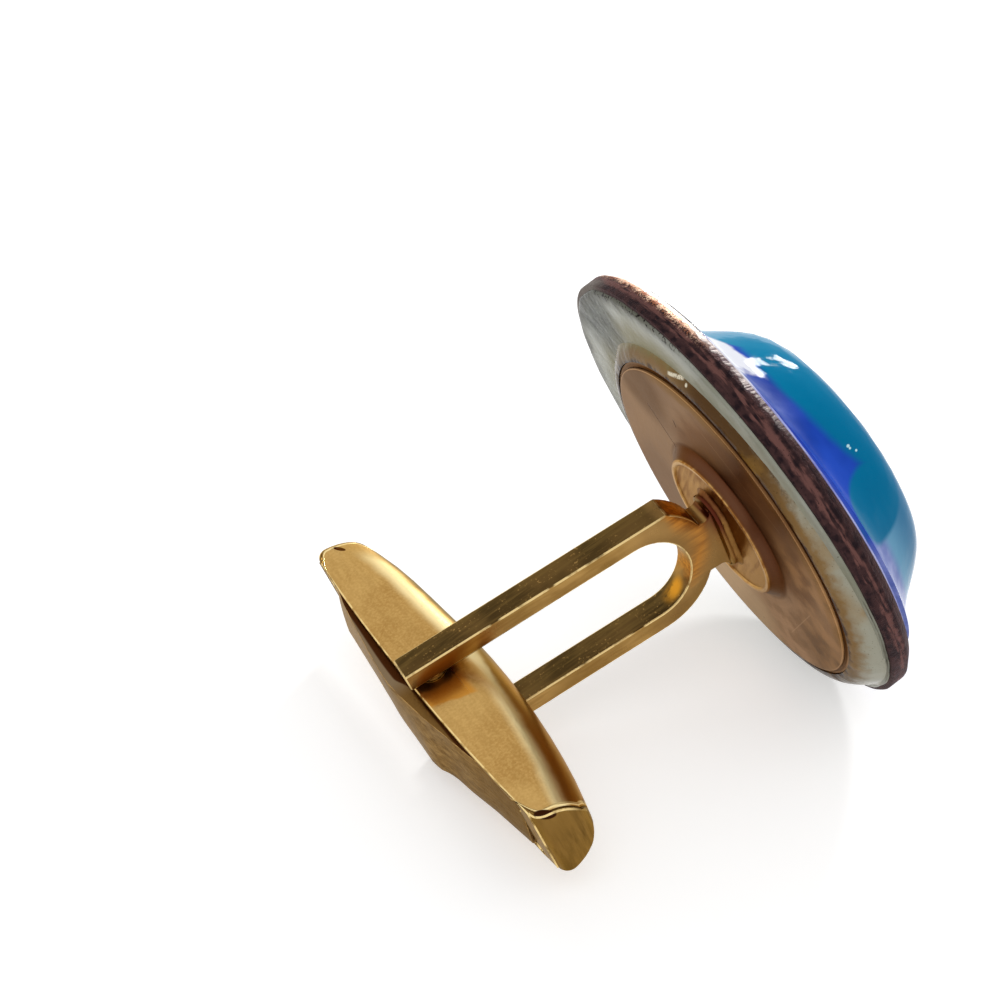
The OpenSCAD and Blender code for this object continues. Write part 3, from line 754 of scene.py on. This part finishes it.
def outwards(obj):
    """Turns all of a finished piece's faces outwards."""
    bpy.ops.object.select_all(action="DESELECT")
    obj.select_set(True)
    bpy.context.view_layer.objects.active = obj
    bpy.ops.object.mode_set(mode="EDIT")
    bpy.ops.mesh.select_all(action="SELECT")
    bpy.ops.mesh.normals_make_consistent(inside=False)
    bpy.ops.object.mode_set(mode="OBJECT")


def ring_turned(name, rings, turned, closed=False, sides=192):
    """Piece of revolution: a ring extruded and scaled step by step, then filled or joined end to end."""
    radius, height = rings[0]
    bpy.ops.object.select_all(action="DESELECT")
    bpy.ops.mesh.primitive_circle_add(vertices=sides, radius=radius * MM, location=(0, 0, height * MM))
    obj = bpy.context.object
    obj.name = obj.data.name = name
    bpy.ops.object.mode_set(mode="EDIT")
    bpy.ops.mesh.select_all(action="SELECT")
    for next_radius, next_height in rings[1:]:
        bpy.ops.mesh.extrude_edges_move(TRANSFORM_OT_translate={"value": (0, 0, (next_height - height) * MM)})
        grow = next_radius / radius
        bpy.ops.transform.resize(value=(grow, grow, 1), center_override=(0, 0, next_height * MM))
        radius, height = next_radius, next_height
    bpy.ops.mesh.select_all(action="DESELECT")
    bpy.ops.mesh.select_non_manifold()
    if closed:
        bpy.ops.mesh.bridge_edge_loops()
    else:
        bpy.ops.mesh.fill_holes(sides=0)
    bpy.ops.object.mode_set(mode="OBJECT")
    outwards(obj)
    obj.matrix_world = turned @ obj.matrix_world
    bpy.ops.object.transform_apply(location=True, rotation=True, scale=True)
    bpy.ops.object.shade_smooth_by_angle(angle=math.radians(40))
    return obj


def hand_finished(obj, from_radius, amount_mm, seed):
    """Pulls a disc's rim in a little here and there, as hand filing and firing leave it."""
    back = DISC_FRAME.inverted()
    for v in obj.data.vertices:
        p = back @ v.co
        if p.xy.length > from_radius * MM:
            way = Vector((p.x, p.y, 0)).normalized()
            up = p.z / MM
            long_waves = 0.5 + 0.5 * noise.noise(way * 7 + Vector((seed, 0, up * 0.3)))
            short_waves = 0.5 + 0.5 * noise.noise(way * 26 + Vector((0, seed, up * 0.8)))
            v.co = DISC_FRAME @ (p - way * (long_waves + short_waves * 0.5) * amount_mm * MM)


def round_edges(obj, width_mm, sharp, clamp):
    """Rounds a piece's sharp edges, and marks the rounded strips as its edges for the wear on them."""
    for label in ("plain", "edge"):
        obj.data.materials.append(bpy.data.materials.new(label))
    bevel = obj.modifiers.new("rounded edges", "BEVEL")
    bevel.width = width_mm * MM
    bevel.segments = 2
    bevel.angle_limit = math.radians(sharp)
    bevel.material = 1
    bevel.use_clamp_overlap = clamp
    bpy.ops.object.modifier_apply(modifier=bevel.name)
    edge = obj.data.attributes.new("edge", "FLOAT", "CORNER")
    for face in obj.data.polygons:
        for corner in face.loop_indices:
            edge.data[corner].value = float(face.material_index == 1)
        face.material_index = 0
    obj.data.materials.clear()


def bevelled_copy(name, node, width_mm):
    """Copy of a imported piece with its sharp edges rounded."""
    obj = new_object(name, frame["nodes"][node].data.copy())
    obj.data.materials.clear()
    bpy.ops.object.select_all(action="DESELECT")
    obj.select_set(True)
    bpy.context.view_layer.objects.active = obj
    bpy.ops.object.mode_set(mode="EDIT")
    bpy.ops.mesh.select_all(action="SELECT")
    bpy.ops.mesh.remove_doubles(threshold=0.001 * MM)
    bpy.ops.mesh.dissolve_limited(angle_limit=math.radians(0.3))
    bpy.ops.object.mode_set(mode="OBJECT")
    skin = BVHTree.FromPolygons([v.co.copy() for v in obj.data.vertices],
                                [tuple(face.vertices) for face in obj.data.polygons])
    round_edges(obj, width_mm, sharp=28, clamp=False)
    # Where bevels ran into each other, their points are laid back on the piece
    for v in obj.data.vertices:
        spot, _, _, off = skin.find_nearest(v.co)
        if off > 0.5 * width_mm * MM:
            v.co = spot
    bpy.ops.object.shade_smooth_by_angle(angle=math.radians(30))
    return obj


def eased(value, start, end):
    """0 at start, 1 at end and smooth between them."""
    share = min(max((value - start) / (end - start), 0), 1)
    return share * share * (3 - 2 * share)


def toggle_body():
    """The folded toggle, a little fuller at one end of its keel and shorter at the other, as pressed."""
    obj = bevelled_copy("toggle_body", "toggle_shell", ROUNDING_MM)
    to_post = POST_FRAME.inverted()
    for v in obj.data.vertices:
        _, along, up = (to_post @ v.co) / MM
        fuller = 0.26 * eased(up, 13.9, 12.4) * eased(along, -4.0, -10.0)
        shorter = 0.2 * eased(along, 6.0, 8.8)
        v.co += POST_FRAME.to_3x3() @ Vector((0, -shorter, -fuller)) * MM
    return obj


def strip_heights(along):
    """Heights of the strip's near and far edges at a place along the toggle."""
    for first, last in zip(STRIP_MM, STRIP_MM[1:]):
        if along <= last[0] + 1e-6:
            share = (along - first[0]) / (last[0] - first[0])
            return [first[i] + share * (last[i] - first[i]) for i in (1, 2)]


def spring_strip():
    """Strip with a lifted far edge, a short step down and turned-down sides, thickened and rounded."""
    bpy.ops.object.select_all(action="DESELECT")
    bpy.ops.mesh.primitive_grid_add(x_subdivisions=8, y_subdivisions=48, size=1)
    obj = bpy.context.object
    obj.name = obj.data.name = "strip"
    for v in obj.data.vertices:
        across, run = v.co.x * 2, v.co.y + 0.5
        along = STRIP_MM[0][0] + run * (STRIP_MM[-1][0] - STRIP_MM[0][0])
        near, far = strip_heights(along)
        column = round((across + 1) * 4)
        side = min(max((column - 1) / 6, 0), 1)
        up = near + (far - near) * side + STRIP_CROWN_MM * math.sin(math.pi * side)
        if column in (0, 8):
            up = STRIP_FOOT_MM
        v.co = Vector(((2 * side - 1) * STRIP_HALF_MM, along, up)) * MM
    wall = obj.modifiers.new("thickness", "SOLIDIFY")
    wall.thickness, wall.offset = STRIP_WALL_MM * MM, -1
    bpy.ops.object.modifier_apply(modifier=wall.name)
    round_edges(obj, ROUNDING_MM, sharp=40, clamp=True)
    obj.matrix_world = POST_FRAME
    bpy.ops.object.transform_apply(location=True, rotation=True, scale=True)
    bpy.ops.object.shade_smooth_by_angle(angle=math.radians(35))
    return obj


def mound_height(radius):
    """Height of the mound over its base at a distance from its middle."""
    return MOUND_HIGH_MM / (1 + (radius / MOUND_HALF_MM) ** MOUND_STEEPNESS)


def mound():
    """The melted mound, as rings from its blunt edge up its flank and over its top."""
    radii = [8.445, 8.35, 8.2, 8.0, 7.8, 7.6, 7.4, 7.2, 7.0, 6.8, 6.6, 6.4, 6.2, 6.0, 5.8, 5.6, 5.4, 5.2, 5.0,
             4.7, 4.4, 4.0, 3.5, 3.0, 2.4, 1.8, 1.2, 0.6, 0.2]
    rings = [(8.3, MOUND_BASE_MM)] + [(r, MOUND_BASE_MM - mound_height(r)) for r in radii]
    middle = Matrix.Translation(Vector((*MOUND_MIDDLE_MM, 0)) * MM)
    return ring_turned("mound", rings, DISC_FRAME @ middle, sides=224)


def glass_lump():
    """The lump of second glass: rings laid over the mound, thickest in the middle and sunk at the rim."""
    shares = [0.2, 0.5, 0.8, 1.0, 0.985, 0.96, 0.92, 0.86, 0.78, 0.68, 0.56, 0.42, 0.28, 0.14, 0.04]
    under_rings, step = 3, 0.1
    obj = ring_turned("glass_lump", [(share, i * step) for i, share in enumerate(shares)], Matrix())
    for v in obj.data.vertices:
        ring = round(v.co.z / MM / step)
        place = Vector((v.co.x * LUMP_HALF_MM.x, v.co.y * LUMP_HALF_MM.y)) / MM
        flat = place + LUMP_MIDDLE_MM - MOUND_MIDDLE_MM
        radius = flat.length
        slope = (mound_height(radius + 0.01) - mound_height(radius - 0.01)) / 0.02
        out = flat.normalized()
        normal = Vector((-slope * out.x, -slope * out.y, 1)).normalized()
        lift = LUMP_UNDER_MM if ring < under_rings else LUMP_SWELL_MM * (1 - shares[ring] ** 2) + LUMP_EDGE_MM
        spot = Vector((*flat, mound_height(radius))) + normal * lift
        v.co = DISC_FRAME @ (Vector((spot.x + MOUND_MIDDLE_MM.x, spot.y + MOUND_MIDDLE_MM.y,
                                     MOUND_BASE_MM - spot.z)) * MM)
    outwards(obj)
    bpy.ops.object.shade_smooth_by_angle(angle=math.radians(60))
    return obj


def glue():
    """The squeezed-out bead, its underside laid flat on the tilted enamel and just sunk into it."""
    steps = [i / 14 for i in range(15)]
    bead_from, bead_width, bead_top, bead_fall, hollow, deep = 7.73, 1.3, -0.11, 1.21, 2.2, -1.4
    rings = [(6.9, deep), (6.9, -0.352), (7.6, -0.352), (7.725, -0.3)]
    rings += [(bead_from + bead_width * s, bead_top - bead_fall * s ** hollow) for s in steps]
    obj = ring_turned("glue", rings + [(9.04, deep)], POST_FRAME, closed=True)
    to_disc = DISC_FRAME.inverted()
    for v in obj.data.vertices:
        height = (to_disc @ v.co).z
        if height < 0:
            v.co -= POST * (height + 0.03 * MM) / math.cos(DISC_TILT)
    return obj


def solder_fillet():
    """Solder drawn up round the fork's long foot in a hollow curve."""
    hollow, foot_half = 0.196, 0.95
    turns = [i * math.pi / 16 for i in range(9)]
    curve = [(1.15 - hollow * math.sin(a), 0.6 - hollow * math.cos(a)) for a in turns]
    obj = ring_turned("solder", [(0.94, 0.4)] + curve + [(0.94, 0.6)], Matrix(), closed=True)
    for v in obj.data.vertices:
        across = v.co.x / MM
        if abs(across) > 0.001:
            v.co.x += math.copysign(foot_half, across) * MM
        v.co = POST_FRAME @ v.co
    return obj


def fitted(obj, body, node, finish):
    """Dresses a piece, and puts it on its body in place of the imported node."""
    obj.data.materials.clear()
    obj.data.materials.append(finish)
    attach(obj, body)
    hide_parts(node)


def head():
    copper = ring_turned("disc", COPPER_RINGS, DISC_FRAME)
    hand_finished(copper, from_radius=9.5, amount_mm=0.03, seed=1)
    fitted(copper, "head", "copper_disc", fire_scaled_copper())
    enamel = ring_turned("back_enamel", ENAMEL_RINGS, DISC_FRAME)
    hand_finished(enamel, from_radius=9.9, amount_mm=0.12, seed=5)
    fitted(enamel, "head", "counter_enamel", back_enamel())
    coat = ring_turned("front_enamel", COAT_RINGS, DISC_FRAME)
    hand_finished(coat, from_radius=9.5, amount_mm=0.12, seed=9)
    fitted(coat, "head", "front_coat", front_enamel())
    fitted(mound(), "head", "cobalt_glass", melted_glass("blue glass"))
    fitted(glass_lump(), "head", "turquoise_glass", melted_glass("turquoise glass"))
    pad = ring_turned("pad", PAD_FLANGE + PAD_FACE + PAD_BOSS, POST_FRAME, closed=True)
    fitted(pad, "head", "back_pad", rose_gilt())
    fitted(glue(), "head", "glue_bead", amber_glue())
    fitted(solder_fillet(), "head", "solder_run", solder_metal())
    fitted(bevelled_copy("fork_casting", "fork", ROUNDING_MM), "head", "fork", tarnished_gilt())
    fitted(bevelled_copy("pin", "pivot_pin", PIN_ROUNDING_MM), "head", "pivot_pin", pin_metal())


def toggle():
    fitted(toggle_body(), "toggle", "toggle_shell", satin_gilt())
    fitted(spring_strip(), "toggle", "spring_strip", brown_strip())


# Studio

def plainly_seen(tree):
    """Mask of what the eye, a reflection or a look through glass meets, and not the light on a piece."""
    rays = tree.nodes.new("ShaderNodeLightPath").outputs
    mirrored = reckoned(tree, "MAXIMUM", rays["Is Glossy Ray"], rays["Is Transmission Ray"])
    return reckoned(tree, "MAXIMUM", rays["Is Camera Ray"], mirrored)


def lit_world():
    """White all round for the eye and for reflections, and a soft grey level for the light itself."""
    world = bpy.data.worlds.new("studio")
    bpy.context.scene.world = world
    world.use_nodes = True
    tree = world.node_tree
    backdrop = tree.nodes["Background"]
    strength = reckoned(tree, "ADD", 0.6, reckoned(tree, "MULTIPLY", plainly_seen(tree), 0.4))
    tree.links.new(strength, backdrop.inputs["Strength"])
    backdrop.inputs["Color"].default_value = (1, 1, 1, 1)


def paper_floor():
    """White paper under the cufflink, which keeps its shadow."""
    bpy.ops.object.select_all(action="DESELECT")
    bpy.ops.mesh.primitive_plane_add(size=1.2, location=(0, 0, CAD_BOX[0][2] - 0.02 * MM))
    floor = bpy.context.object
    floor.name = "floor"
    f = Finish("white paper", Specular_IOR_Level=0.2)
    colour = f.mix(f.noise(0.02), (0.8, 0.8, 0.8), (0.84, 0.84, 0.84))
    f.finish(colour, f.between(f.noise(0.05), 0.7, 0.9))
    f.shader.inputs["Emission Color"].default_value = (1, 1, 1, 1)
    f.tree.links.new(f.times(plainly_seen(f.tree), 0.45), f.shader.inputs["Emission Strength"])
    floor.data.materials.append(f.mat)


def lamp(name, towards, distance, size, watts):
    light = bpy.data.lights.new(name, "AREA")
    light.size, light.energy = size, watts
    obj = new_object(name, light)
    way = Vector(towards).normalized()
    obj.matrix_world = Matrix.Translation(way * distance) @ way.to_track_quat("Z", "Y").to_matrix().to_4x4()
    return obj


def camera():
    data = bpy.data.cameras.new("camera")
    data.sensor_width, data.lens, data.clip_start = 36, LENS_MM, MM
    cam = new_object("camera", data)
    turned = POST_FRAME.to_3x3()
    right, up = turned @ VIEW_RIGHT, turned @ VIEW_UP
    look = Matrix((right, up, right.cross(up))).transposed().to_4x4()
    cam.matrix_world = Matrix.Translation(turned @ VIEW_FROM_MM * MM) @ look
    bpy.context.scene.camera = cam


camera()
lit_world()
lamp("softbox", towards=(-0.70, -0.58, 0.36), distance=0.25, size=0.034, watts=0.3)
lamp("broad fill", towards=(0.3, 0.5, 0.8), distance=0.5, size=0.5, watts=0.6).visible_glossy = False
paper_floor()
head()
toggle()
bpy.context.scene.view_settings.view_transform = "Standard"
